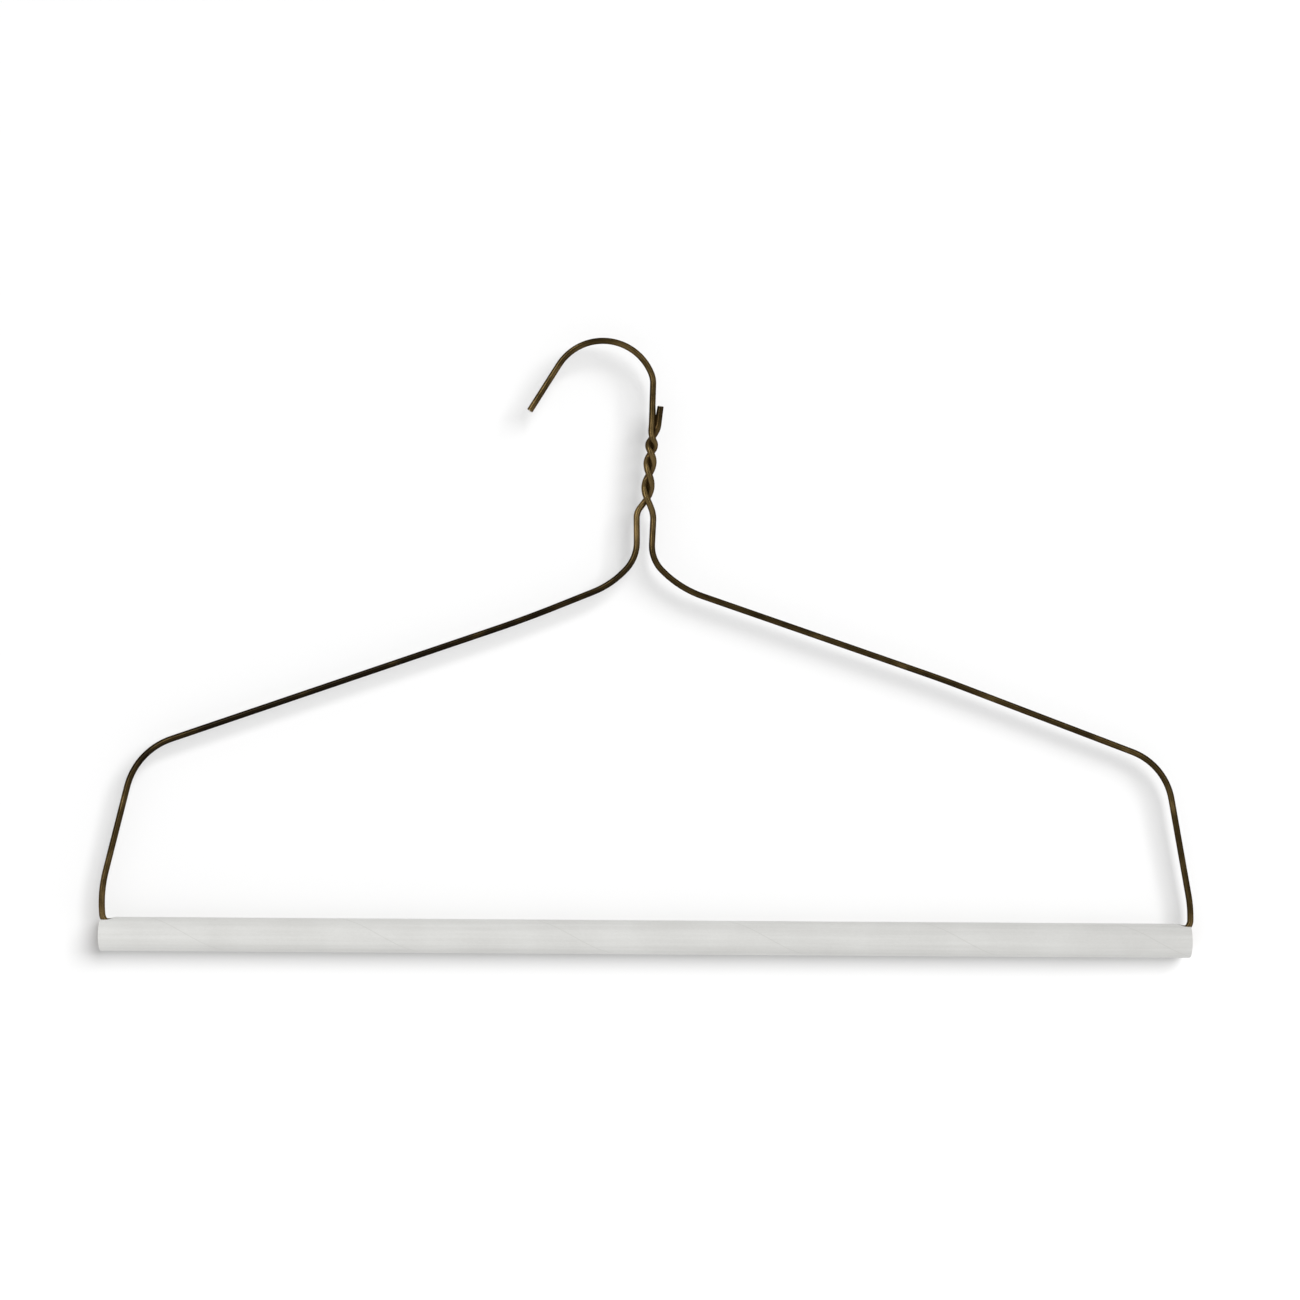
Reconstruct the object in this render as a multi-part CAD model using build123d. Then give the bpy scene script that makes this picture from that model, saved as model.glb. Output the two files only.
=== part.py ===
from build123d import *
from math import asin, atan2, cos, degrees, hypot, pi, radians, sin, sqrt, tan
import os

# Wire trouser hanger with a paper tube as its bar, in millimetres, +Z up.
# The hanger lies in the XZ plane and its thickness is along Y. The front faces -Y.
# The origin is on the inside of the hook's crown, where a rail touches it.
# Two lacquered steel wires are twisted together above the neck. The left one goes on
# as the hook, the right one ends in a short tail beside the stem. At the bottom each
# wire drops through a notch in the end of the tube and runs inwards as a finger in
# its bore, so the tube hangs on the two fingers and can rock about them.

# Wire, 13 gauge
wire_diameter = 2.32

# Hook, to the wire's centre line
crown_radius = 19.5
stem_bend_radius = 9.8
tip_turn_deg = 58.0
stem_turn_deg = 67.3
tip_length = 20.2

# Stem, which leans a little to the left on its way down
stem_foot_drop = 28.5
stem_lean_deg = 1.36

# Twist: how far each crossing lies below the rail, from the top one down
crossing_drops = [34.8, 40.6, 48.6, 57.6]
twist_lean_deg = 4.6
twist_gap = 0.16
top_crossing_shift = 0.14
stem_exit_rise = 3.0
tail_exit_rise = 2.0
neck_entry_rise = 2.1

# Tail of the second wire, beside the stem
tail_foot_drop = 30.0
tail_length = 6.9
tail_lean_deg = 6.8
tail_gap = 0.05

# Paper tube: a brown core in one white outer ply
tube_length = 406.4
tube_diameter = 12.7
core_wall = 1.0
wrap_wall = 0.2
tube_drop = 221.5
tube_shift = 0.47

# Fit of the wire's feet in the tube
bore_clearance = 0.3
notch_width = 6.0
notch_clearance = 0.5
foot_bend_radius = 4.0
finger_length = 25.0
shortest_run = 0.01

# The two halves of the frame. The eyelet's and the root's offsets are from the lowest
# crossing, the corner's, the ankle's and the heel's insets are from the tube's end, the
# corner's rise is from the tube's axis and the ankle's straight is above the foot's bend.
left_half = dict(
    eyelet_top_offset=3.8, eyelet_top_drop=65.0,
    eyelet_foot_offset=3.6, eyelet_foot_drop=79.6, eyelet_foot_radius=14.8,
    root_offset=12.6, root_drop=89.7, root_radius=33.7,
    bow_share=0.185, bow=-1.5, bow_radius=450.0,
    corner_inset=12.6, corner_rise=68.4, corner_radius=25.3,
    ankle_inset=-0.32, ankle_straight=8.3, ankle_radius=48.0,
    heel_inset=0.57,
)
right_half = dict(
    eyelet_top_offset=2.39, eyelet_top_drop=65.9,
    eyelet_foot_offset=1.75, eyelet_foot_drop=80.3, eyelet_foot_radius=13.0,
    root_offset=12.24, root_drop=91.0, root_radius=39.0,
    bow_share=0.54, bow=1.45, bow_radius=450.0,
    corner_inset=9.4, corner_rise=65.8, corner_radius=23.1,
    ankle_inset=-0.34, ankle_straight=5.1, ankle_radius=46.0,
    heel_inset=-0.3,
)

# Lengths that follow from the ones above
wire_radius = wire_diameter / 2
twist_radius = wire_radius + twist_gap / 2
tube_radius = tube_diameter / 2
core_radius = tube_radius - wrap_wall
bore_radius = core_radius - core_wall
finger_rise = bore_radius - bore_clearance - wire_radius

# Pure numbers
straight_share = 0.000001
half_share = 0.5


# Hook: the crown is centred below the origin, and the stem hangs from its right side
stem_turn = radians(stem_turn_deg)
tip_turn = radians(tip_turn_deg)
crown_level = wire_radius - crown_radius
stem_lean = radians(stem_lean_deg)
stem_up = Vector(sin(stem_lean), 0, cos(stem_lean))
bend_centre = Vector(sin(stem_turn), 0, cos(stem_turn)) * (crown_radius - stem_bend_radius)
bend_centre += Vector(0, 0, crown_level)
stem_top = bend_centre + Vector(cos(stem_lean), 0, -sin(stem_lean)) * stem_bend_radius
stem_foot = stem_top - stem_up * ((stem_top.Z + stem_foot_drop) / stem_up.Z)

# Twist: its axis leans to the right and passes through the crossings
twist_lean = radians(twist_lean_deg)
axis_up = Vector(sin(twist_lean), 0, cos(twist_lean))
axis_side = Vector(cos(twist_lean), 0, -sin(twist_lean))
axis_back = Vector(0, 1, 0)
crossing_rises = [(crossing_drops[-1] - drop) / cos(twist_lean) for drop in reversed(crossing_drops)]
neck_x = stem_foot.X + top_crossing_shift - crossing_rises[-1] * sin(twist_lean)
neck_point = Vector(neck_x, 0, -crossing_drops[-1])
tube_x = neck_x + tube_shift


# Edge that leaves start along heading and ends at end: a line if they are in line
def tangent_edge(start, heading, end):
    chord = end - start
    if heading.cross(chord).length < chord.length * straight_share:
        return Line(start, end)
    return TangentArc(start, end, tangent=heading)


# Two arcs that leave start along one heading and reach end along another
def biarc(start, heading, end, last_heading):
    chord = end - start
    square = 2 * (heading.dot(last_heading) - 1)
    linear = -2 * chord.dot(heading + last_heading)
    if abs(square) < straight_share:
        reach = -chord.dot(chord) / linear
    else:
        reach = (-linear - sqrt(linear**2 - 4 * square * chord.dot(chord))) / (2 * square)
    near = start + heading * reach
    far = end - last_heading * reach
    middle = (near + far) * half_share
    return [
        tangent_edge(start, heading, middle),
        tangent_edge(middle, (far - near).normalized(), end),
    ]


# Chain of biarcs through nodes, each one a point and a heading
def biarc_chain(nodes):
    edges = []
    for (start, heading), (end, last_heading) in zip(nodes, nodes[1:]):
        edges += biarc(start, heading, end, last_heading)
    return edges


# Straight runs with a bend at each inner point, no bend longer than its runs allow
def bent_run(points, radii):
    headings = [(after - before).normalized() for before, after in zip(points, points[1:])]
    runs = [(after - before).length for before, after in zip(points, points[1:])]
    turns = [radians(before.get_angle(after)) for before, after in zip(headings, headings[1:])]
    setbacks = [radius * tan(turn / 2) for radius, turn in zip(radii, turns)]
    reaches = [0] + setbacks + [0]
    shares = [min(1, run / (a + b)) for run, a, b in zip(runs, reaches, reaches[1:])]
    fitted = [setback * min(shares[i], shares[i + 1]) for i, setback in enumerate(setbacks)]
    edges = []
    here = points[0]
    for i, heading in enumerate(headings):
        is_last = i == len(radii)
        run_end = points[-1] if is_last else points[i + 1] - heading * fitted[i]
        if (run_end - here).length > shortest_run:
            edges.append(Line(here, run_end))
        if not is_last:
            here = points[i + 1] + headings[i + 1] * fitted[i]
            edges.append(TangentArc(run_end, here, tangent=heading))
    return edges


# One half of the frame, from the finger in the tube up to the top of the eyelet.
# side is -1 for the left half and 1 for the right one.
def half_path(half, side):
    end_x = tube_length / 2
    heel_x = end_x - half["heel_inset"]
    ankle_rise = finger_rise + foot_bend_radius + half["ankle_straight"]
    corner = Vector(tube_x + side * (end_x - half["corner_inset"]), 0, half["corner_rise"] - tube_drop)
    root = Vector(neck_x + side * half["root_offset"], 0, -half["root_drop"])
    slope = (corner - root).normalized()
    upward = Vector(-side * slope.Z, 0, side * slope.X)
    points = [
        Vector(tube_x + side * (heel_x - finger_length), 0, finger_rise - tube_drop),
        Vector(tube_x + side * heel_x, 0, finger_rise - tube_drop),
        Vector(tube_x + side * (end_x - half["ankle_inset"]), 0, ankle_rise - tube_drop),
        corner,
        root + (corner - root) * half["bow_share"] + upward * half["bow"],
        root,
        Vector(neck_x + side * half["eyelet_foot_offset"], 0, -half["eyelet_foot_drop"]),
        Vector(neck_x + side * half["eyelet_top_offset"], 0, -half["eyelet_top_drop"]),
    ]
    radii = [
        foot_bend_radius, half["ankle_radius"], half["corner_radius"],
        half["bow_radius"], half["root_radius"], half["eyelet_foot_radius"],
    ]
    return bent_run(points, radii), (points[-1], (points[-1] - points[-2]).normalized())


# Node of a strand that winds left-handed up the twist: rise along the axis, turn in
# degrees from the right, counted towards the back, and climb per radian
def strand_node(rise, turn_deg, climb):
    turn = radians(turn_deg)
    out = axis_side * cos(turn) + axis_back * sin(turn)
    along = axis_side * sin(turn) - axis_back * cos(turn)
    point = neck_point + axis_up * rise + out * twist_radius
    return point, (along * twist_radius + axis_up * climb).normalized()


# Strand through the crossings, half a turn apart. A climb of a quarter of the step
# takes the middle of a half turn one twist radius out. The top step, where the strands
# part, has a node half way too.
def strand_nodes(first_turn_deg, exit_climb):
    steps = [high - low for low, high in zip(crossing_rises, crossing_rises[1:])]
    inner_climbs = [(low + high) / 2 / 4 for low, high in zip(steps, steps[1:])]
    climbs = [neck_entry_rise] + inner_climbs + [exit_climb]
    nodes = [
        strand_node(rise, first_turn_deg - 180 * i, climb)
        for i, (rise, climb) in enumerate(zip(crossing_rises, climbs))
    ]
    part_rise = (crossing_rises[-2] + crossing_rises[-1]) / 2
    part_turn_deg = first_turn_deg - 180 * len(inner_climbs) - 90
    nodes.insert(-1, strand_node(part_rise, part_turn_deg, steps[-1] / pi))
    return nodes


# Round wire along a path, cut square at both ends
def wire_solid(name, edges):
    path = Wire(edges)
    solid = sweep(Plane(origin=path @ 0, z_dir=path % 0) * Circle(wire_radius), path=path)
    full_volume = pi * wire_radius**2 * path.length
    print(f"{name}: {path.length:.1f} mm of wire, volume share {solid.volume / full_volume:.4f}")
    return solid


# Hook wire: left half, twist, stem and hook
def make_hook_wire():
    edges, eyelet_top = half_path(left_half, -1)
    nodes = [eyelet_top] + strand_nodes(90, stem_exit_rise)
    nodes.append((stem_foot, stem_up))
    crown_right = Vector(crown_radius * sin(stem_turn), 0, crown_level + crown_radius * cos(stem_turn))
    crown_left = Vector(-crown_radius * sin(tip_turn), 0, crown_level + crown_radius * cos(tip_turn))
    tip = crown_left - Vector(cos(tip_turn), 0, sin(tip_turn)) * tip_length
    edges += biarc_chain(nodes)
    edges.append(Line(stem_foot, stem_top))
    edges.append(TangentArc(stem_top, crown_right, tangent=stem_up))
    edges.append(TangentArc(crown_right, crown_left, tangent=Vector(-cos(stem_turn), 0, sin(stem_turn))))
    edges.append(Line(crown_left, tip))
    return wire_solid("hook_wire", edges)


# Tail wire: right half, twist and the short tail beside the stem
def make_tail_wire():
    edges, eyelet_top = half_path(right_half, 1)
    tail_lean = radians(tail_lean_deg)
    tail_back = twist_radius / 2
    tail_foot = Vector(stem_foot.X + wire_diameter + tail_gap, tail_back, -tail_foot_drop)
    tail_up = Vector(sin(tail_lean), -tail_back / tail_length, cos(tail_lean)).normalized()
    nodes = [eyelet_top] + strand_nodes(-90, tail_exit_rise) + [(tail_foot, tail_up)]
    edges += biarc_chain(nodes)
    edges.append(Line(tail_foot, tail_foot + tail_up * tail_length))
    return wire_solid("tail_wire", edges)


# Notch in the top of the tube's end, open towards the end, with a round inner end
def make_notch(half, side):
    depth = half["heel_inset"] + foot_bend_radius + notch_clearance
    centre_x = tube_length / 2 - depth + notch_width / 2
    slot = Box(tube_diameter, notch_width, tube_radius, align=(Align.MIN, Align.CENTER, Align.MIN))
    tool = Pos(centre_x, 0, 0) * (slot + Cylinder(notch_width / 2, tube_radius, align=(
        Align.CENTER, Align.CENTER, Align.MIN)))
    if side < 0:
        tool = mirror(tool, about=Plane.YZ)
    return Pos(tube_x, 0, -tube_drop) * tool


# One ply of the tube, between two radii, with both notches cut
def make_ply(outer_radius, inner_radius):
    along = Pos(tube_x, 0, -tube_drop) * Rotation(0, 90, 0)
    ply = along * (Cylinder(outer_radius, tube_length) - Cylinder(inner_radius, tube_length))
    return ply - make_notch(left_half, -1) - make_notch(right_half, 1)


os.makedirs("parts", exist_ok=True)
parts = {
    "hook_wire": make_hook_wire(),
    "tail_wire": make_tail_wire(),
    "tube_core": make_ply(core_radius, bore_radius),
    "tube_wrap": make_ply(tube_radius, core_radius),
}
for name, shape in parts.items():
    export_step(shape, f"parts/{name}.step")
edge_rise = sqrt(tube_radius**2 - (notch_width / 2) ** 2) - finger_rise
edge_reach = hypot(notch_width / 2, edge_rise)
rock_deg = degrees(atan2(notch_width / 2, edge_rise) - asin((wire_radius + bore_clearance) / edge_reach))
print(f"tube axis at x {tube_x:.3f}, z {-tube_drop:.2f}, its fingers {finger_rise:.2f} higher")
print(f"at {rock_deg:.1f} degrees each way the notches are still {bore_clearance} mm off the fingers")
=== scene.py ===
import bpy
import math
import numpy as np
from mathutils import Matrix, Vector, noise


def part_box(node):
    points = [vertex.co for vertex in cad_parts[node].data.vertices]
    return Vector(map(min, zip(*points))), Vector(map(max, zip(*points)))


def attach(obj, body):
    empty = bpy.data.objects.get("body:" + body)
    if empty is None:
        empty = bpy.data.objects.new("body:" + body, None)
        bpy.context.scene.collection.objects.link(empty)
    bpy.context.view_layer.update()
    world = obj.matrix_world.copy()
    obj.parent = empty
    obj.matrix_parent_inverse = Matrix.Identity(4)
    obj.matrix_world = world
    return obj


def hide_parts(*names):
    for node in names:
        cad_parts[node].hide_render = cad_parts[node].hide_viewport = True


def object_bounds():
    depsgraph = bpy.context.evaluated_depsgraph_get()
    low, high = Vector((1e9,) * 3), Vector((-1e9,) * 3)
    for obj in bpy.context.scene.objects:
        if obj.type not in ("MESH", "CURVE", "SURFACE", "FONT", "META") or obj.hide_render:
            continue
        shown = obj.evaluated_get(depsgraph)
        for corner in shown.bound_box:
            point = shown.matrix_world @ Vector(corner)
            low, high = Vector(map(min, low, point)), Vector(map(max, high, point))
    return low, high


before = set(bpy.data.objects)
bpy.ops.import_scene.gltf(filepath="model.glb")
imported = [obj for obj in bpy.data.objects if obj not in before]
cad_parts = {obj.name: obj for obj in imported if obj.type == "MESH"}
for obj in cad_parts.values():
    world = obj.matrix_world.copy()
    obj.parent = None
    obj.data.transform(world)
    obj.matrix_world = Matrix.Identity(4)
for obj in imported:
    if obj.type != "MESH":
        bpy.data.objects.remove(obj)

# Trouser hanger: two lacquered wires twisted under a hook, a paper tube across their feet.
# The dictionaries are in millimetres, the meshes in metres.
mm = 0.001
cadLow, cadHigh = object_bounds()
tubeLow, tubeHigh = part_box("tube_wrap")
coreLow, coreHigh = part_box("tube_core")
tubeX = (tubeLow.x + tubeHigh.x) / 2 / mm
tubeZ = (tubeLow.z + tubeHigh.z) / 2 / mm
tubeLength = (tubeHigh.x - tubeLow.x) / mm
tubeRadius = (tubeHigh.y - tubeLow.y) / 2 / mm
coreRadius = (coreHigh.y - coreLow.y) / 2 / mm
print("frame loaded, tube", round(tubeLength, 1), "mm long")


def point(x, y, z):
    return np.array([x, y, z], float)


def unit(v):
    return v / np.linalg.norm(v)


# Routes: a route is a list of points, and every function adds to its end
routeStep = {"line": 2.0, "arcDeg": 4.0, "finerParts": 6, "inLine": 1e-6, "shortest": 0.01}


def addLine(route, end):
    start = route[-1]
    count = max(1, math.ceil(np.linalg.norm(end - start) / routeStep["line"]))
    route += [start + (end - start) * i / count for i in range(1, count + 1)]


def addArc(route, heading, end):
    chord = end - route[-1]
    length = np.linalg.norm(chord)
    across = np.linalg.norm(np.cross(heading, chord))
    if across < length * routeStep["inLine"]:
        addLine(route, end)
        return
    turn = 2 * math.atan2(across, heading @ chord)
    radius = length / 2 / math.sin(turn / 2)
    side = unit(chord - heading * (chord @ heading))
    centre = route[-1] + side * radius
    byTurn = math.ceil(math.degrees(turn) / routeStep["arcDeg"])
    count = max(2, byTurn, math.ceil(length / routeStep["line"]))
    for i in range(1, count + 1):
        a = turn * i / count
        route.append(centre + (heading * math.sin(a) - side * math.cos(a)) * radius)


# two arcs from one heading to another
def addBiarc(route, heading, end, lastHeading):
    chord = end - route[-1]
    square = 2 * (heading @ lastHeading - 1)
    linear = -2 * chord @ (heading + lastHeading)
    if abs(square) < routeStep["inLine"]:
        reach = -(chord @ chord) / linear
    else:
        reach = (-linear - math.sqrt(linear ** 2 - 4 * square * (chord @ chord))) / (2 * square)
    near = route[-1] + heading * reach
    far = end - lastHeading * reach
    addArc(route, heading, (near + far) / 2)
    addArc(route, unit(far - near), end)


# straight runs with a bend at each inner corner, no bend longer than its runs
def bentRun(corners, radii):
    headings = [unit(b - a) for a, b in zip(corners, corners[1:])]
    runs = [np.linalg.norm(b - a) for a, b in zip(corners, corners[1:])]
    turns = [math.acos(min(1, a @ b)) for a, b in zip(headings, headings[1:])]
    setbacks = [radius * math.tan(turn / 2) for radius, turn in zip(radii, turns)]
    reaches = [0] + setbacks + [0]
    shares = [min(1, run / (a + b)) for run, a, b in zip(runs, reaches, reaches[1:])]
    route = [corners[0]]
    for i, setback in enumerate(setbacks):
        fitted = setback * min(shares[i], shares[i + 1])
        bendStart = corners[i + 1] - headings[i] * fitted
        if np.linalg.norm(bendStart - route[-1]) > routeStep["shortest"]:
            addLine(route, bendStart)
        addArc(route, headings[i], corners[i + 1] + headings[i + 1] * fitted)
    if np.linalg.norm(corners[-1] - route[-1]) > routeStep["shortest"]:
        addLine(route, corners[-1])
    return route, headings[-1]


# The wire and its route
wire = {
    "diameter": 2.32, "sides": 32, "smoothDeg": 40.0,
    "crownRadius": 19.5, "stemBendRadius": 9.8, "tipTurnDeg": 58.0, "stemTurnDeg": 67.3,
    "tipLength": 20.2, "stemFootDrop": 28.5, "stemLeanDeg": 1.36,
    "tailFootDrop": 30.0, "tailLength": 6.9, "tailLeanDeg": 6.8, "tailGap": 0.05,
    "boreClearance": 0.3, "boreRadius": 5.15, "footBendRadius": 4.0, "fingerLength": 25.0,
}
twist = {
    "crossingDrops": [34.8, 40.6, 48.6, 57.6], "leanDeg": 4.6, "gap": 0.16, "topShift": 0.14,
    "stemExitRise": 3.0, "tailExitRise": 2.0, "neckEntryRise": 2.1,
}
leftHalf = {
    "side": -1, "eyeletTop": (3.8, 65.0), "eyeletFoot": (3.6, 79.6), "eyeletRadius": 14.8,
    "root": (12.6, 89.7), "rootRadius": 33.7, "bowShare": 0.185, "bow": -1.5, "bowRadius": 450,
    "cornerInset": 12.6, "cornerRise": 68.4, "cornerRadius": 25.3,
    "ankleInset": -0.32, "ankleStraight": 8.3, "ankleRadius": 48, "heelInset": 0.57,
}
rightHalf = {
    "side": 1, "eyeletTop": (2.39, 65.9), "eyeletFoot": (1.75, 80.3), "eyeletRadius": 13.0,
    "root": (12.24, 91.0), "rootRadius": 39.0, "bowShare": 0.54, "bow": 1.45, "bowRadius": 450,
    "cornerInset": 9.4, "cornerRise": 65.8, "cornerRadius": 23.1,
    "ankleInset": -0.34, "ankleStraight": 5.1, "ankleRadius": 46, "heelInset": -0.3,
}
wireRadius = wire["diameter"] / 2
strandRadius = wireRadius + twist["gap"] / 2
fingerRise = wire["boreRadius"] - wire["boreClearance"] - wireRadius

# the hook's crown is centred under the origin, and the stem hangs from its right side
stemTurn = math.radians(wire["stemTurnDeg"])
tipTurn = math.radians(wire["tipTurnDeg"])
stemLean = math.radians(wire["stemLeanDeg"])
crownLevel = wireRadius - wire["crownRadius"]
stemUp = point(math.sin(stemLean), 0, math.cos(stemLean))
bendReach = wire["crownRadius"] - wire["stemBendRadius"]
stemTop = point(bendReach * math.sin(stemTurn) + wire["stemBendRadius"] * math.cos(stemLean), 0,
                crownLevel + bendReach * math.cos(stemTurn) - wire["stemBendRadius"] * math.sin(stemLean))
stemFoot = stemTop - stemUp * (stemTop[2] + wire["stemFootDrop"]) / stemUp[2]

# the twist's axis leans, and the strands cross on it
lean = math.radians(twist["leanDeg"])
axisUp = point(math.sin(lean), 0, math.cos(lean))
axisSide = point(math.cos(lean), 0, -math.sin(lean))
axisBack = point(0, 1, 0)
lowestDrop = twist["crossingDrops"][-1]
rises = [(lowestDrop - drop) / math.cos(lean) for drop in reversed(twist["crossingDrops"])]
neckX = stemFoot[0] + twist["topShift"] - rises[-1] * math.sin(lean)
neckPoint = point(neckX, 0, -lowestDrop)


# one half of the frame, from the finger in the tube up to the eyelet
def halfRoute(half):
    side = half["side"]
    end = tubeLength / 2
    ankleRise = fingerRise + wire["footBendRadius"] + half["ankleStraight"]
    corner = point(tubeX + side * (end - half["cornerInset"]), 0, tubeZ + half["cornerRise"])
    root = point(neckX + side * half["root"][0], 0, -half["root"][1])
    slope = unit(corner - root)
    upward = point(-side * slope[2], 0, side * slope[0])
    corners = [
        point(tubeX + side * (end - half["heelInset"] - wire["fingerLength"]), 0, tubeZ + fingerRise),
        point(tubeX + side * (end - half["heelInset"]), 0, tubeZ + fingerRise),
        point(tubeX + side * (end - half["ankleInset"]), 0, tubeZ + ankleRise),
        corner,
        root + (corner - root) * half["bowShare"] + upward * half["bow"],
        root,
        point(neckX + side * half["eyeletFoot"][0], 0, -half["eyeletFoot"][1]),
        point(neckX + side * half["eyeletTop"][0], 0, -half["eyeletTop"][1]),
    ]
    radii = [wire["footBendRadius"], half["ankleRadius"], half["cornerRadius"], half["bowRadius"],
             half["rootRadius"], half["eyeletRadius"]]
    return bentRun(corners, radii)


# place and heading of a strand that winds left-handed up the twist
def strandNode(rise, turnDeg, climb):
    turn = math.radians(turnDeg)
    out = axisSide * math.cos(turn) + axisBack * math.sin(turn)
    along = axisSide * math.sin(turn) - axisBack * math.cos(turn)
    return neckPoint + axisUp * rise + out * strandRadius, unit(along * strandRadius + axisUp * climb)


# strand through the crossings, half a turn apart, with a node more where the strands part.
# A climb of a quarter of the step takes the middle of a half turn one strand radius out.
def strandNodes(firstTurnDeg, exitClimb):
    steps = [b - a for a, b in zip(rises, rises[1:])]
    innerClimbs = [(a + b) / 2 / 4 for a, b in zip(steps, steps[1:])]
    climbs = [twist["neckEntryRise"]] + innerClimbs + [exitClimb]
    nodes = [strandNode(rise, firstTurnDeg - 180 * i, climbs[i]) for i, rise in enumerate(rises)]
    partRise = (rises[-2] + rises[-1]) / 2
    partTurnDeg = firstTurnDeg - 180 * len(innerClimbs) - 90
    nodes.insert(-1, strandNode(partRise, partTurnDeg, steps[-1] / math.pi))
    return nodes


def followNodes(route, heading, nodes):
    for end, lastHeading in nodes:
        addBiarc(route, heading, end, lastHeading)
        heading = lastHeading


def hookRoute():
    route, heading = halfRoute(leftHalf)
    followNodes(route, heading, strandNodes(90, twist["stemExitRise"]) + [(stemFoot, stemUp)])
    addLine(route, stemTop)
    r = wire["crownRadius"]
    crownRight = point(r * math.sin(stemTurn), 0, crownLevel + r * math.cos(stemTurn))
    crownLeft = point(-r * math.sin(tipTurn), 0, crownLevel + r * math.cos(tipTurn))
    addArc(route, stemUp, crownRight)
    addArc(route, point(-math.cos(stemTurn), 0, math.sin(stemTurn)), crownLeft)
    addLine(route, crownLeft - point(math.cos(tipTurn), 0, math.sin(tipTurn)) * wire["tipLength"])
    return np.array(route)


def tailRoute():
    route, heading = halfRoute(rightHalf)
    tailLean = math.radians(wire["tailLeanDeg"])
    back = strandRadius / 2
    foot = point(stemFoot[0] + wire["diameter"] + wire["tailGap"], back, -wire["tailFootDrop"])
    tailUp = unit(point(math.sin(tailLean), -back / wire["tailLength"], math.cos(tailLean)))
    followNodes(route, heading, strandNodes(-90, twist["tailExitRise"]) + [(foot, tailUp)])
    addLine(route, foot + tailUp * wire["tailLength"])
    return np.array(route)


# the same line with more points, to measure distances to it
def finer(route):
    parts = routeStep["finerParts"]
    shares = np.arange(parts)[:, None] / parts
    return np.concatenate([a + (b - a) * shares for a, b in zip(route, route[1:])])


# Mesh of a piece from its points in millimetres
pieces = []


def makePiece(name, points, faces, body, node, material, smoothDeg):
    mesh = bpy.data.meshes.new(name)
    mesh.from_pydata([Vector(p) * mm for p in points], [], faces)
    mesh.validate()
    mesh.shade_smooth()
    mesh.set_sharp_from_angle(angle=math.radians(smoothDeg))
    mesh.materials.append(material)
    piece = bpy.data.objects.new(name, mesh)
    bpy.context.scene.collection.objects.link(piece)
    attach(piece, body)
    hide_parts(node)
    pieces.append(piece)
    print(name, len(mesh.vertices), "points")
    return piece


def addValues(piece, name, values, kind="FLOAT"):
    layer = piece.data.attributes.new(name, kind, "POINT")
    field = "vector" if kind == "FLOAT_VECTOR" else "value"
    layer.data.foreach_set(field, np.array(values, np.float32).ravel())


# Round wire round a route. straightened is where each point lay before the wire was bent,
# tone says how golden the lacquer is, with painted shade and painted light in it, bare marks the cut ends,
# and the gap shade is painted shade in the gaps between strands, where lacquer has gathered and nearly closes
# them.
crevice = {"search": 3.0, "overlap": 0.05, "filledTo": 0.4, "fillReach": 0.9, "paintedShadeReach": 1.6}
# each ring of a cut end is a share of the radius and a depth, and the cutter pinched two sides
cutEnd = {"rim": 0.14, "rings": [(0.94, 0.10), (0.80, 0.15), (0.45, 0.17)], "pinch": 0.16}


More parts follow.
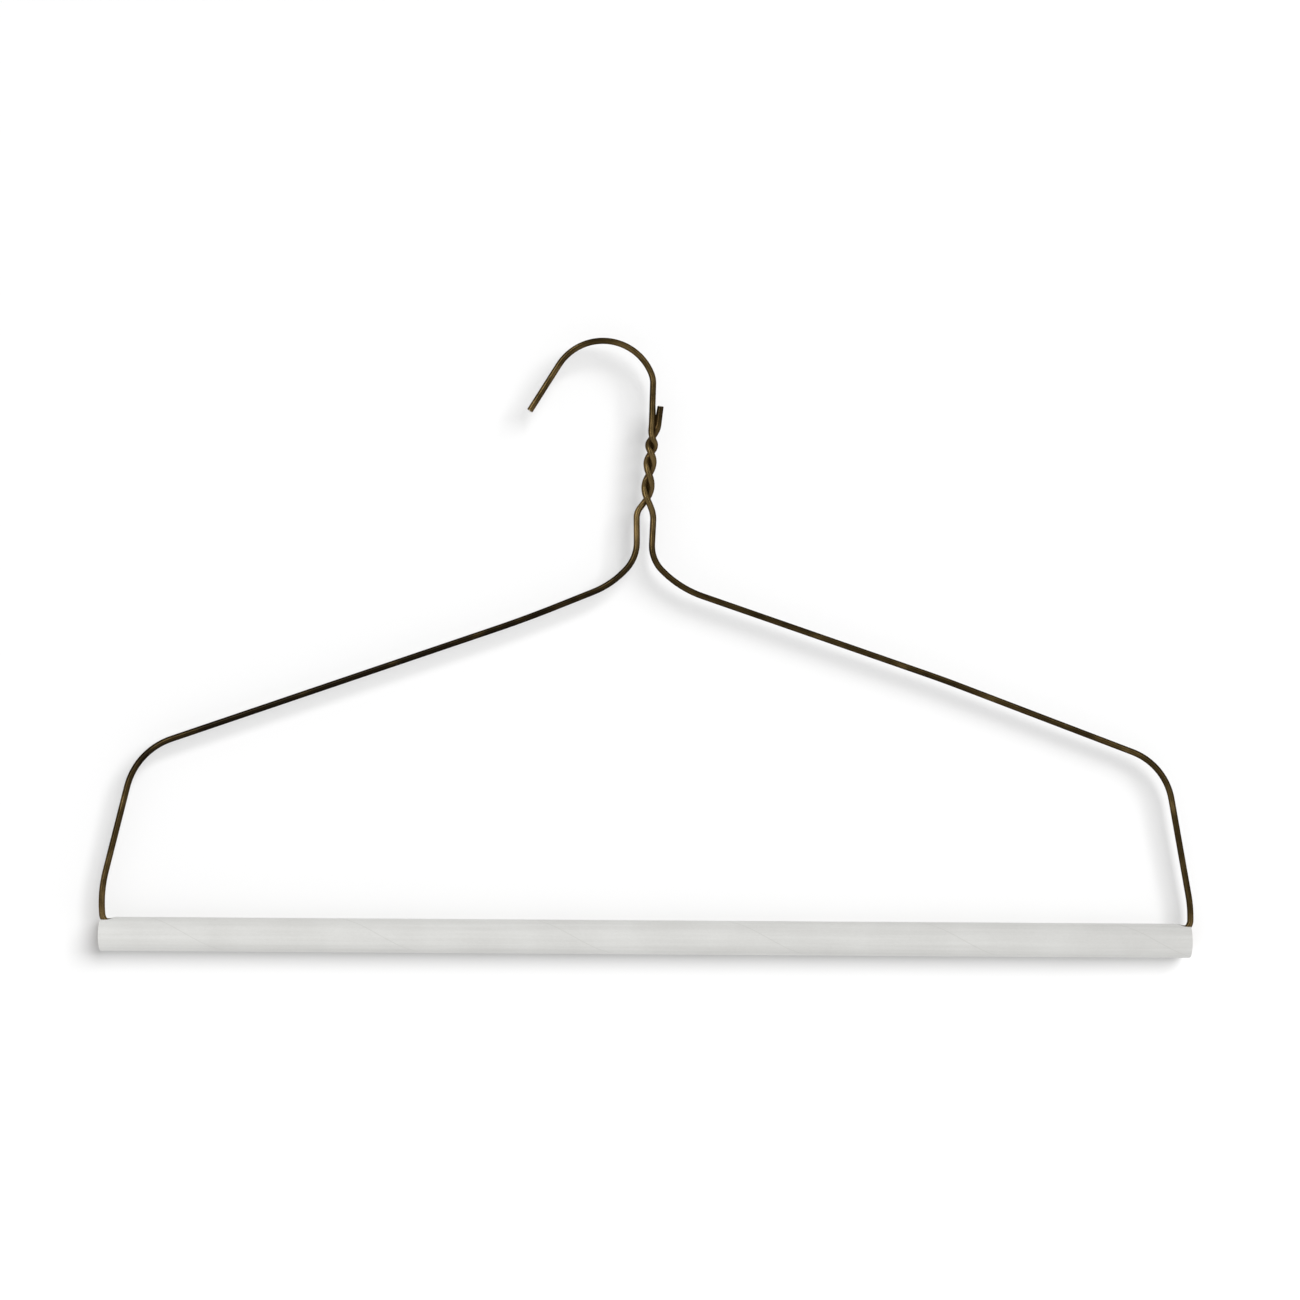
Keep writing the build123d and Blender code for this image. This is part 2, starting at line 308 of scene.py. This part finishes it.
def wireMesh(name, route, node, toneAndPaintedLightStops, otherRoute, material):
    sides = wire["sides"]
    steps = np.linalg.norm(np.diff(route, axis=0), axis=1)
    along = np.concatenate([[0], np.cumsum(steps)])
    tangents = np.gradient(route, along, axis=0)
    tangents /= np.linalg.norm(tangents, axis=1)[:, None]
    tangents[0] = unit(route[1] - route[0])
    tangents[-1] = unit(route[-1] - route[-2])
    across = unit(np.cross(tangents[0], point(0, 1, 0)))
    points, straightened, bare = [], [], []
    rings = []

    def addRing(centre, i, share=1, shift=0, bareness=0):
        up = np.cross(tangents[i], across)
        reach = wireRadius * share
        ring = []
        for k in range(sides):
            a = 2 * math.pi * k / sides
            radial = across * math.cos(a) + up * math.sin(a)
            pinch = cutEnd["pinch"] * math.cos(a) * share * bareness
            ring.append(len(points))
            points.append(centre + radial * reach + tangents[i] * (shift + math.copysign(pinch, shift)))
            straightened.append((along[i], reach * math.cos(a), reach * math.sin(a)))
            bare.append(bareness)
        rings.append(ring)

    last = len(route) - 1
    for i in range(len(route)):
        across = unit(across - tangents[i] * (across @ tangents[i]))
        if i == 0:
            start = route[i] + tangents[i] * cutEnd["rim"]
            for share, depth in reversed(cutEnd["rings"]):
                addRing(start, i, share, -depth, 1)
            addRing(start, i)
        elif i == last:
            end = route[i] - tangents[i] * cutEnd["rim"]
            addRing(end, i)
            for share, depth in cutEnd["rings"]:
                addRing(end, i, share, depth, 1)
        else:
            addRing(route[i], i)
    faces = []
    for a, b in zip(rings, rings[1:]):
        for k in range(sides):
            m = (k + 1) % sides
            faces.append((a[k], a[m], b[m], b[k]))
    faces.append(tuple(reversed(rings[0])))
    faces.append(tuple(rings[-1]))
    # the gap shade: painted shade, darker the nearer the other wire runs
    paintedGapShade = []
    for i, p in enumerate(points):
        gap, towards = gapTo(p, otherRoute)
        share = min(1, max(0, (crevice["fillReach"] - gap) / (crevice["fillReach"] - crevice["filledTo"])))
        points[i] = p + towards * share ** 2 * (max(gap, 0) / 2 + crevice["overlap"])
        paintedGapShade.append(max(0, 1 - gap / crevice["paintedShadeReach"]))
    piece = makePiece(name, points, faces, "wire_frame", node, material,
                      wire["smoothDeg"])
    stations = np.array(straightened)[:, 0]
    stops = np.array(toneAndPaintedLightStops)
    addValues(piece, "straightened", straightened, "FLOAT_VECTOR")
    # the tone carries painted shade and painted light as well as the lacquer's own gold
    addValues(piece, "toneAndPaintedLight", np.interp(stations, stops[:, 0], stops[:, 1]))
    addValues(piece, "bare", bare)
    addValues(piece, "paintedGapShade", paintedGapShade)


# width of the gap to the other wire, and the way there
def gapTo(p, otherRoute):
    near = otherRoute[abs(otherRoute[:, 2] - p[2]) < crevice["search"]]
    if len(near) == 0:
        return crevice["search"], point(0, 0, 0)
    distances = np.linalg.norm(near - p, axis=1)
    nearest = near[np.argmin(distances)]
    return distances.min() - wireRadius, unit(nearest - p)


# Materials. Each one starts from the same few node calls.
def newMaterial(name):
    material = bpy.data.materials.new(name)
    material.use_nodes = True
    tree = material.node_tree
    return material, tree, tree.nodes["Principled BSDF"]


def addNode(tree, kind, sockets=None, **settings):
    node = tree.nodes.new("ShaderNode" + kind)
    for key, value in settings.items():
        setattr(node, key, value)
    for key, value in (sockets or {}).items():
        if isinstance(value, bpy.types.NodeSocket):
            tree.links.new(value, node.inputs[key])
        else:
            node.inputs[key].default_value = value
    return node


def maths(tree, operation, a, b=0.0):
    return addNode(tree, "Math", {0: a, 1: b}, operation=operation).outputs[0]


# noise on a stretched place: a grain has its stretch, scale, detail and rough
def noiseOn(tree, place, grain):
    stretched = addNode(tree, "VectorMath", {0: place, 1: grain["stretch"]}, operation="MULTIPLY")
    sockets = {"Vector": stretched.outputs[0], "Scale": grain["scale"], "Detail": grain["detail"],
               "Roughness": grain["rough"]}
    return addNode(tree, "TexNoise", sockets).outputs["Fac"]


def rescaled(tree, value, fromLow, fromHigh, toLow, toHigh):
    sockets = {"Value": value, "From Min": fromLow, "From Max": fromHigh, "To Min": toLow, "To Max": toHigh}
    return addNode(tree, "MapRange", sockets).outputs[0]


# noise keeps mostly to the middle of its range, which is spread from low to high
noiseMiddle = (0.3, 0.7)


def spread(tree, noiseValue, low, high):
    return rescaled(tree, noiseValue, *noiseMiddle, low, high)


def rampOn(tree, value, stops):
    node = addNode(tree, "ValToRGB", {"Fac": value})
    elements = node.color_ramp.elements
    while len(elements) < len(stops):
        elements.new(0.5)  # each gets its own place below
    for element, (place, colour) in zip(elements, stops):
        element.position = place
        element.color = (*colour, 1)
    return node.outputs[0]


# the Mix node's sockets 6 and 7 are its two colours
def blended(tree, share, a, b):
    node = addNode(tree, "Mix", data_type="RGBA")
    for index, value in ((0, share), (6, a), (7, b)):
        if isinstance(value, bpy.types.NodeSocket):
            tree.links.new(value, node.inputs[index])
        else:
            node.inputs[index].default_value = (*value, 1) if isinstance(value, tuple) else value
    return node.outputs[2]


def attributeOf(tree, name):
    return addNode(tree, "Attribute", attribute_name=name)


def addBump(tree, relief, finish):
    sockets = {"Height": relief, "Strength": finish["bumpStrength"], "Distance": finish["bump"]}
    return addNode(tree, "Bump", sockets).outputs[0]


# Bronze lacquer on drawn wire: patches and fine lines along the wire, specks all over.
# The grains lie on the straightened wire, in millimetres.
lacquer = {
    "umber": (0.006, 0.0038, 0.0013), "bronze": (0.037, 0.024, 0.0076), "gold": (0.150, 0.101, 0.040),
    # the painted shade between strands: its dark brown, where it starts and how far it covers
    "bronzeTone": 0.45, "paintedShadeColour": (0.030, 0.015, 0.0030), "paintedShadeFrom": 0.9, "paintedShadeCover": 0.95,
    "steel": (0.34, 0.32, 0.29), "edgeTint": (0.30, 0.20, 0.10),
    "patches": {"stretch": (0.12, 0.35, 0.35), "scale": 1.0, "detail": 4.0, "rough": 0.55},
    "drawn": {"stretch": (0.06, 5.0, 5.0), "scale": 1.0, "detail": 2.0, "rough": 0.55},
    "specks": {"stretch": (1.0, 1.0, 1.0), "scale": 2.6, "detail": 2.0, "rough": 0.55},
    # the painted shade between strands is also less metallic
    "patchMottle": 0.22, "drawnMottle": 0.10, "metallic": 0.96, "paintedShadeMetallic": 0.3,
    "coat": 0.04, "coatRoughness": 0.2, "roughLow": 0.13, "roughHigh": 0.28, "speckRough": 0.5,
    "unevenMiddle": (0.5, 1.0), "speckRelief": 0.6, "bumpStrength": 0.5, "bump": 0.000012,
}


def lacquerMaterial():
    material, tree, shader = newMaterial("bronzeLacquer")
    straight = attributeOf(tree, "straightened").outputs["Vector"]
    # tone: the lacquer's gold, with painted shade and painted light in it
    toneAndPaintedLight = attributeOf(tree, "toneAndPaintedLight").outputs["Fac"]
    patches = noiseOn(tree, straight, lacquer["patches"])
    drawn = noiseOn(tree, straight, lacquer["drawn"])
    specks = noiseOn(tree, straight, lacquer["specks"])
    mottle = maths(tree, "ADD", spread(tree, patches, -lacquer["patchMottle"], lacquer["patchMottle"]),
                   spread(tree, drawn, -lacquer["drawnMottle"], lacquer["drawnMottle"]))
    stops = [(0.0, lacquer["umber"]), (lacquer["bronzeTone"], lacquer["bronze"]), (1.0, lacquer["gold"])]
    colour = rampOn(tree, maths(tree, "ADD", toneAndPaintedLight, mottle), stops)
    # painted shade between the strands, darker where the other wire is near
    paintedGapShade = rescaled(tree, attributeOf(tree, "paintedGapShade").outputs["Fac"], 0.0, lacquer["paintedShadeFrom"],
                     0.0, lacquer["paintedShadeCover"])
    colour = blended(tree, paintedGapShade, colour, lacquer["paintedShadeColour"])
    bare = attributeOf(tree, "bare").outputs["Fac"]
    colour = blended(tree, bare, colour, lacquer["steel"])
    uneven = maths(tree, "ADD", patches, maths(tree, "MULTIPLY", specks, lacquer["speckRough"]))
    rough = rescaled(tree, uneven, *lacquer["unevenMiddle"], lacquer["roughLow"], lacquer["roughHigh"])
    # the painted shade takes most of the metal out of the gaps
    metallic = rescaled(tree, paintedGapShade, 0.0, 1.0, lacquer["metallic"], lacquer["paintedShadeMetallic"])
    relief = maths(tree, "ADD", drawn, maths(tree, "MULTIPLY", specks, lacquer["speckRelief"]))
    bump = addBump(tree, relief, lacquer)
    tree.links.new(colour, shader.inputs["Base Color"])
    tree.links.new(rough, shader.inputs["Roughness"])
    tree.links.new(bump, shader.inputs["Normal"])
    tree.links.new(metallic, shader.inputs["Metallic"])
    shader.inputs["Specular Tint"].default_value = (*lacquer["edgeTint"], 1)
    shader.inputs["Coat Weight"].default_value = lacquer["coat"]
    shader.inputs["Coat Roughness"].default_value = lacquer["coatRoughness"]
    return material


# Tube: two plies, each a shell with a notch in the top of both ends
tube = {
    "wrapWall": 0.2, "coreWall": 1.0, "notchWidth": 6.0, "notchClearance": 0.5, "fit": 0.03,
    "columns": 96, "wrapStep": 0.9, "coreStep": 20.0, "notchStations": 9, "smoothDeg": 35.0,
    "rimRound": 0.12, "rimReach": 0.7, "rimShares": (0.15, 0.45), "rimWall": 0.2,
    "seamLead": 72.0, "seamPhase": 0.10, "seamHalfWidth": 0.40, "seamBlur": 0.48, "seamDepth": 0.035,
    "waver": 0.03, "waverScale": 0.05, "waverLevel": 0.3,
    "wrapLayers": 2, "coreLayers": 8, "plyGroove": 0.05, "atEnd": 1e-6,
}


# signed distance to the spiral seam of the outer ply, along the tube. x is from its middle.
def seamDistance(x, angle):
    phase = x / tube["seamLead"] + angle / (2 * math.pi) + tube["seamPhase"]
    return (phase - math.floor(phase) - 0.5) * tube["seamLead"]


# stations from the tube's middle: close together at the rims and along the notches' round ends
def stationList(leftDepth, rightDepth, bodyStep):
    half = tube["notchWidth"] / 2
    end = tubeLength / 2
    turns = [math.pi / 2 * i / tube["notchStations"] for i in range(tube["notchStations"] + 1)]
    arc = [half * math.cos(turn) for turn in turns]
    rim = [tube["rimReach"] * share for share in (0.0, *tube["rimShares"], 1.0)]
    left = [-end + reach for reach in rim] + [-end + leftDepth - half + reach for reach in arc]
    right = [end - reach for reach in rim] + [end - rightDepth + half - reach for reach in arc]
    left = sorted(set(round(x, 4) for x in left))
    right = sorted(set(round(x, 4) for x in right))
    span = right[0] - left[-1]
    count = max(1, round(span / bodyStep))
    body = [left[-1] + span * i / count for i in range(1, count)]
    return left, body, right


def notchHalfWidth(x, leftDepth, rightDepth):
    half = tube["notchWidth"] / 2
    inward = leftDepth - (x + tubeLength / 2) if x < 0 else rightDepth - (tubeLength / 2 - x)
    if inward <= tube["atEnd"]:
        return 0.0
    return half if inward >= half else math.sqrt(max(0.0, half ** 2 - (half - inward) ** 2))


def plyMesh(name, outer, inner, layers, groove, seamed, node, material):
    leftDepth = leftHalf["heelInset"] + wire["footBendRadius"] + tube["notchClearance"]
    rightDepth = rightHalf["heelInset"] + wire["footBendRadius"] + tube["notchClearance"]
    left, body, right = stationList(leftDepth, rightDepth, tube["wrapStep"] if seamed else tube["coreStep"])
    stations = left + body + right
    columns = tube["columns"]
    notched = len(left) - 1
    firstRight = len(left) + len(body)
    points, index = [], {}

    def place(i, layer, column):
        x = stations[i]
        halfWidth = notchHalfWidth(x, leftDepth, rightDepth)
        column = 0 if halfWidth == 0 and column == columns else column
        key = (i, layer, column)
        if key in index:
            return index[key]
        radius = outer + (inner - outer) * layer / layers
        opening = math.asin(halfWidth / radius)
        angle = opening + (2 * math.pi - 2 * opening) * column / columns
        fromEnd = tubeLength / 2 - abs(x)
        shift = 0
        if layer == 0:
            curl = max(0, 1 - fromEnd / tube["rimReach"]) ** 2 * tube["rimRound"]
            edge = min(angle - opening, 2 * math.pi - opening - angle) * radius
            if halfWidth > 0:
                curl = max(curl, max(0, 1 - edge / tube["rimReach"]) ** 2 * tube["rimRound"])
            radius -= curl * (outer - inner) / (outer - inner + tube["rimWall"])
            if seamed:
                away = seamDistance(x, angle) * tube["seamBlur"] / tube["seamHalfWidth"]
                radius -= tube["seamDepth"] * math.exp(-away ** 2)
                swell = noise.noise(Vector((x * tube["waverScale"], angle, outer))) - tube["waverLevel"]
                radius += tube["waver"] * swell
        elif layer < layers and fromEnd < tube["atEnd"]:
            shift = math.copysign(groove, -x) * (layer % 2)
        index[key] = len(points)
        points.append((tubeX + x + shift, radius * math.sin(angle), tubeZ + radius * math.cos(angle)))
        return index[key]

    faces = []

    def addFace(*corners):
        ring = []
        for corner in corners:
            vertex = place(*corner)
            if vertex not in ring:
                ring.append(vertex)
        if len(ring) > 2:
            faces.append(tuple(ring))

    last = len(stations) - 1
    innerRows = list(range(notched + 1)) + list(range(firstRight, last + 1))
    for i in range(last):
        for c in range(columns):
            addFace((i, 0, c), (i, 0, c + 1), (i + 1, 0, c + 1), (i + 1, 0, c))
    for i, j in zip(innerRows, innerRows[1:]):
        for c in range(columns):
            addFace((i, layers, c), (j, layers, c), (j, layers, c + 1), (i, layers, c + 1))
    for layer in range(layers):
        for c in range(columns):
            addFace((0, layer, c), (0, layer + 1, c), (0, layer + 1, c + 1), (0, layer, c + 1))
            addFace((last, layer, c), (last, layer, c + 1), (last, layer + 1, c + 1), (last, layer + 1, c))
        for i in list(range(notched)) + list(range(firstRight, last)):
            addFace((i, layer, 0), (i + 1, layer, 0), (i + 1, layer + 1, 0), (i, layer + 1, 0))
            addFace((i, layer, columns), (i, layer + 1, columns), (i + 1, layer + 1, columns),
                    (i + 1, layer, columns))
    makePiece(name, points, faces, "tube", node, material, tube["smoothDeg"])


# White paper ply: fibres along the tube, clouds, faint streaks and the spiral seam.
# The grains of paper and board lie in metres.
paper = {
    "pale": (0.735, 0.735, 0.715), "dull": (0.615, 0.610, 0.590), "seam": (0.52, 0.515, 0.49),
    "fibres": {"stretch": (1.0, 2.2, 2.2), "scale": 900.0, "detail": 5.0, "rough": 0.65},
    "clouds": {"stretch": (1.0, 1.0, 1.0), "scale": 45.0, "detail": 3.0, "rough": 0.55},
    "streaks": {"stretch": (0.02, 1.0, 1.0), "scale": 650.0, "detail": 2.0, "rough": 0.55},
    "fibreShade": 0.25, "cloudShade": 0.45, "streakShade": 0.30, "streakMiddle": (0.35, 0.65),
    "seamShade": 0.45, "seamWidths": 1.2, "roughLow": 0.70, "roughHigh": 0.88, "sheen": 0.25,
    "specular": 0.35, "streakRelief": 0.4, "bumpStrength": 0.6, "bump": 0.00003,
}


def paperMaterial():
    material, tree, shader = newMaterial("whitePaper")
    place = addNode(tree, "TexCoord").outputs["Object"]
    fibres = noiseOn(tree, place, paper["fibres"])
    clouds = noiseOn(tree, place, paper["clouds"])
    streaks = noiseOn(tree, place, paper["streaks"])
    shade = maths(tree, "ADD", spread(tree, clouds, 0.0, paper["cloudShade"]),
                  spread(tree, fibres, 0.0, paper["fibreShade"]))
    streakShade = rescaled(tree, streaks, *paper["streakMiddle"], 0.0, paper["streakShade"])
    colour = blended(tree, maths(tree, "ADD", shade, streakShade), paper["pale"], paper["dull"])
    seamShade = maths(tree, "MULTIPLY", seamOn(tree, place), paper["seamShade"])
    colour = blended(tree, seamShade, colour, paper["seam"])
    relief = maths(tree, "ADD", fibres, maths(tree, "MULTIPLY", streaks, paper["streakRelief"]))
    tree.links.new(colour, shader.inputs["Base Color"])
    tree.links.new(addBump(tree, relief, paper), shader.inputs["Normal"])
    tree.links.new(spread(tree, fibres, paper["roughLow"], paper["roughHigh"]), shader.inputs["Roughness"])
    shader.inputs["Sheen Weight"].default_value = paper["sheen"]
    shader.inputs["Specular IOR Level"].default_value = paper["specular"]
    return material


# 1 on the seam that seamDistance gives the mesh, 0 beside it
def seamOn(tree, place):
    split = addNode(tree, "SeparateXYZ", {0: place})
    fromAxis = maths(tree, "SUBTRACT", split.outputs["Z"], tubeZ * mm)
    angle = maths(tree, "ARCTAN2", split.outputs["Y"], fromAxis)
    turns = maths(tree, "MULTIPLY", angle, 1 / (2 * math.pi))
    fromMiddle = maths(tree, "SUBTRACT", split.outputs["X"], tubeX * mm)
    leads = maths(tree, "MULTIPLY", fromMiddle, 1 / (tube["seamLead"] * mm))
    phase = maths(tree, "ADD", maths(tree, "ADD", leads, turns), tube["seamPhase"])
    away = maths(tree, "ABSOLUTE", maths(tree, "SUBTRACT", maths(tree, "FRACT", phase), 0.5))
    return rescaled(tree, away, 0.0, paper["seamWidths"] * tube["seamHalfWidth"] / tube["seamLead"], 1.0, 0.0)


board = {
    "pale": (0.42, 0.30, 0.18), "dark": (0.22, 0.145, 0.08), "paleFrom": 0.62, "darkTo": 0.35,
    "fibres": {"stretch": (1.0, 2.5, 2.5), "scale": 700.0, "detail": 6.0, "rough": 0.7},
    "clouds": {"stretch": (1.0, 1.0, 1.0), "scale": 120.0, "detail": 3.0, "rough": 0.55},
    "fibreShare": 0.6, "cloudShare": 0.4, "roughness": 0.85, "specular": 0.25,
    "bumpStrength": 0.8, "bump": 0.00006,
}


def boardMaterial():
    material, tree, shader = newMaterial("kraftBoard")
    place = addNode(tree, "TexCoord").outputs["Object"]
    fibres = noiseOn(tree, place, board["fibres"])
    clouds = noiseOn(tree, place, board["clouds"])
    shade = maths(tree, "ADD", maths(tree, "MULTIPLY", fibres, board["fibreShare"]),
                  maths(tree, "MULTIPLY", clouds, board["cloudShare"]))
    colour = rampOn(tree, shade, [(board["darkTo"], board["dark"]), (board["paleFrom"], board["pale"])])
    tree.links.new(colour, shader.inputs["Base Color"])
    tree.links.new(addBump(tree, fibres, board), shader.inputs["Normal"])
    shader.inputs["Roughness"].default_value = board["roughness"]
    shader.inputs["Specular IOR Level"].default_value = board["specular"]
    return material


# Build the pieces. A tone is how golden the lacquer is, at so many millimetres of wire from
# the end of the finger in the tube; the tones also hold painted shade, low along the near-level shoulders,
# and painted light, higher on the upright runs.
tonesAndPaintedLight = {
    "hook": [(0, 0.40), (35, 0.68), (50, 0.52), (75, 0.34), (92, 0.14), (112, 0.0), (126, -0.12),
             (190, -0.06), (240, 0.08), (285, 0.16), (296, 0.76), (312, 0.68), (330, 0.66), (342, 0.62),
             (354, 0.42), (364, 0.46), (374, 0.64), (390, 0.45), (405, 0.50), (425, 0.62)],
    "tail": [(0, 0.40), (35, 0.50), (90, 0.42), (115, 0.33), (285, 0.33), (300, 0.54), (318, 0.64),
             (332, 0.72), (345, 0.45), (352, 0.15)],
}
lacquerMat = lacquerMaterial()
hookPath = hookRoute()
tailPath = tailRoute()
wireMesh("hookWire", hookPath, "hook_wire", tonesAndPaintedLight["hook"], finer(tailPath), lacquerMat)
wireMesh("tailWire", tailPath, "tail_wire", tonesAndPaintedLight["tail"], finer(hookPath), lacquerMat)
plyMesh("paperWrap", tubeRadius, tubeRadius - tube["wrapWall"], tube["wrapLayers"], 0.0, True,
        "tube_wrap", paperMaterial())
plyMesh("boardCore", coreRadius - tube["fit"], coreRadius - tube["coreWall"], tube["coreLayers"],
        tube["plyGroove"], False, "tube_core", boardMaterial())


# 1 for what the camera sees, itself or in a reflection, and 0 for light that falls on things
def seenByEye(tree):
    path = addNode(tree, "LightPath")
    seen = maths(tree, "MAXIMUM", path.outputs["Is Camera Ray"], path.outputs["Is Glossy Ray"])
    return maths(tree, "MAXIMUM", seen, path.outputs["Is Transmission Ray"])


# Stage: a white sheet close behind the hanger and a pale floor far below it
white = (1, 1, 1, 1)
stage = {
    "sheetGap": 7.0, "lean": 0.020, "sheetSize": 3600.0, "floorDrop": 620.0, "floorSize": 6000.0,
    "paint": 0.75, "near": 290.0, "far": 900.0, "farLift": 0.60,
    "sheet": {"lift": 0.012, "bounce": 0.80}, "floor": {"lift": 0.50, "bounce": 0.85},
}


# The eye sees the real surface with its shadows, lifted to plain white far from the hanger. Things
# near it get an even glow instead, so that the shadow under the hanger doesn't darken its back.
def stageMaterial(name, values, seeThroughBack):
    material, tree, shader = newMaterial(name)
    output = tree.nodes["Material Output"]
    tree.nodes.remove(shader)
    diffuse = addNode(tree, "BsdfDiffuse", {"Color": (stage["paint"],) * 3 + (1,)})
    place = addNode(tree, "TexCoord").outputs["Object"]
    distance = addNode(tree, "VectorMath", {0: place}, operation="LENGTH").outputs["Value"]
    strength = rescaled(tree, distance, stage["near"] * mm, stage["far"] * mm,
                        values["lift"], stage["farLift"])
    lift = addNode(tree, "Emission", {"Color": white, "Strength": strength})
    bounce = addNode(tree, "Emission", {"Color": white, "Strength": values["bounce"]})
    seen = addNode(tree, "AddShader", {0: diffuse.outputs[0], 1: lift.outputs[0]})
    result = addNode(tree, "MixShader", {0: seenByEye(tree), 1: bounce.outputs[0], 2: seen.outputs[0]})
    if seeThroughBack:
        back = addNode(tree, "NewGeometry").outputs["Backfacing"]
        clear = addNode(tree, "BsdfTransparent")
        result = addNode(tree, "MixShader", {0: back, 1: result.outputs[0], 2: clear.outputs[0]})
    tree.links.new(result.outputs[0], output.inputs["Surface"])
    material.cycles.emission_sampling = "NONE"
    return material


def stagePlane(name, corners, material):
    mesh = bpy.data.meshes.new(name)
    mesh.from_pydata([Vector(c) * mm for c in corners], [], [(0, 1, 2, 3)])
    mesh.materials.append(material)
    plane = bpy.data.objects.new(name, mesh)
    bpy.context.scene.collection.objects.link(plane)
    return plane


# The sheet leans back a little, and stands sheetGap behind the resting tube's axis. At +30 degrees
# the tube's back reaches 8.2 mm and cuts 1.2 mm into the sheet. A sheetGap of 8.6 clears it.
def sheetCorner(x, z):
    return (x, stage["sheetGap"] + stage["lean"] * (z - tubeZ), z)


sheetHalf = stage["sheetSize"] / 2
floorHalf = stage["floorSize"] / 2
floorZ = -stage["floorDrop"]
backSheet = stagePlane("backSheet", [sheetCorner(-sheetHalf, floorZ), sheetCorner(sheetHalf, floorZ),
                                     sheetCorner(sheetHalf, sheetHalf), sheetCorner(-sheetHalf, sheetHalf)],
                       stageMaterial("sheetWhite", stage["sheet"], True))
paleFloor = stagePlane("paleFloor", [(-floorHalf, -floorHalf, floorZ), (floorHalf, -floorHalf, floorZ),
                                     (floorHalf, floorHalf, floorZ), (-floorHalf, floorHalf, floorZ)],
                       stageMaterial("floorWhite", stage["floor"], False))


# Light: a white room, two tall soft lamps in front for the hanger, and one from the upper
# right that only throws its shadow on the sheet. A level of 1 alone would make white paper white.
light = {
    "room": 0.42,
    "shadowLamp": {"place": (5220, -8320, 4180), "size": (7300, 6500), "level": 0.86},
    "leftLamp": {"place": (-900, -1500, 600), "size": (180, 1800), "level": 0.40},
    "rightLamp": {"place": (1000, -1500, 700), "size": (180, 1800), "level": 0.115},
}


# the level is what a white sheet at the target gets from the lamp when it faces the camera
def addLamp(name, target, receivers):
    values = light[name]
    lamp = bpy.data.lights.new(name, "AREA")
    lamp.shape = "RECTANGLE"
    lamp.size = values["size"][0] * mm
    lamp.size_y = values["size"][1] * mm
    lampObject = bpy.data.objects.new(name, lamp)
    lampObject.location = Vector(values["place"]) * mm
    away = target - lampObject.location
    lamp.energy = values["level"] * math.pi ** 2 * away.length ** 3 / away.y
    lampObject.rotation_euler = away.to_track_quat("-Z", "Y").to_euler()
    bpy.context.scene.collection.objects.link(lampObject)
    lit = bpy.data.collections.new(name + "Lights")
    for receiver in receivers:
        lit.objects.link(receiver)
    lampObject.light_linking.receiver_collection = lit


def addLamps():
    middle = (cadLow + cadHigh) / 2
    addLamp("shadowLamp", middle, [backSheet, paleFloor])
    addLamp("leftLamp", middle, pieces)
    addLamp("rightLamp", middle, pieces)


def setWorld():
    world = bpy.data.worlds.new("whiteRoom")
    world.use_nodes = True
    tree = world.node_tree
    strength = rescaled(tree, seenByEye(tree), 0.0, 1.0, light["room"], 1.0)
    background = tree.nodes["Background"]
    background.inputs["Color"].default_value = white
    tree.links.new(strength, background.inputs["Strength"])
    bpy.context.scene.world = world


# Camera, one metre in front of the hanger
camera = {
    "x": 18.24, "z": -114.2, "distance": 1000.0, "frameWidth": 485.54, "rollDeg": -0.38, "sensor": 36.0,
    "nearest": 50.0, "farthest": 20000.0,
}


def addCamera():
    data = bpy.data.cameras.new("camera")
    data.sensor_width = camera["sensor"]
    data.lens = camera["sensor"] * camera["distance"] / camera["frameWidth"]
    data.clip_start = camera["nearest"] * mm
    data.clip_end = camera["farthest"] * mm
    view = bpy.data.objects.new("camera", data)
    view.location = Vector((camera["x"], -camera["distance"], camera["z"])) * mm
    view.rotation_euler = (math.pi / 2, math.radians(camera["rollDeg"]), 0)
    bpy.context.scene.collection.objects.link(view)
    bpy.context.scene.camera = view


addLamps()
setWorld()
addCamera()
bpy.context.scene.view_settings.view_transform = "Standard"
print("stage, lamps and camera ready")
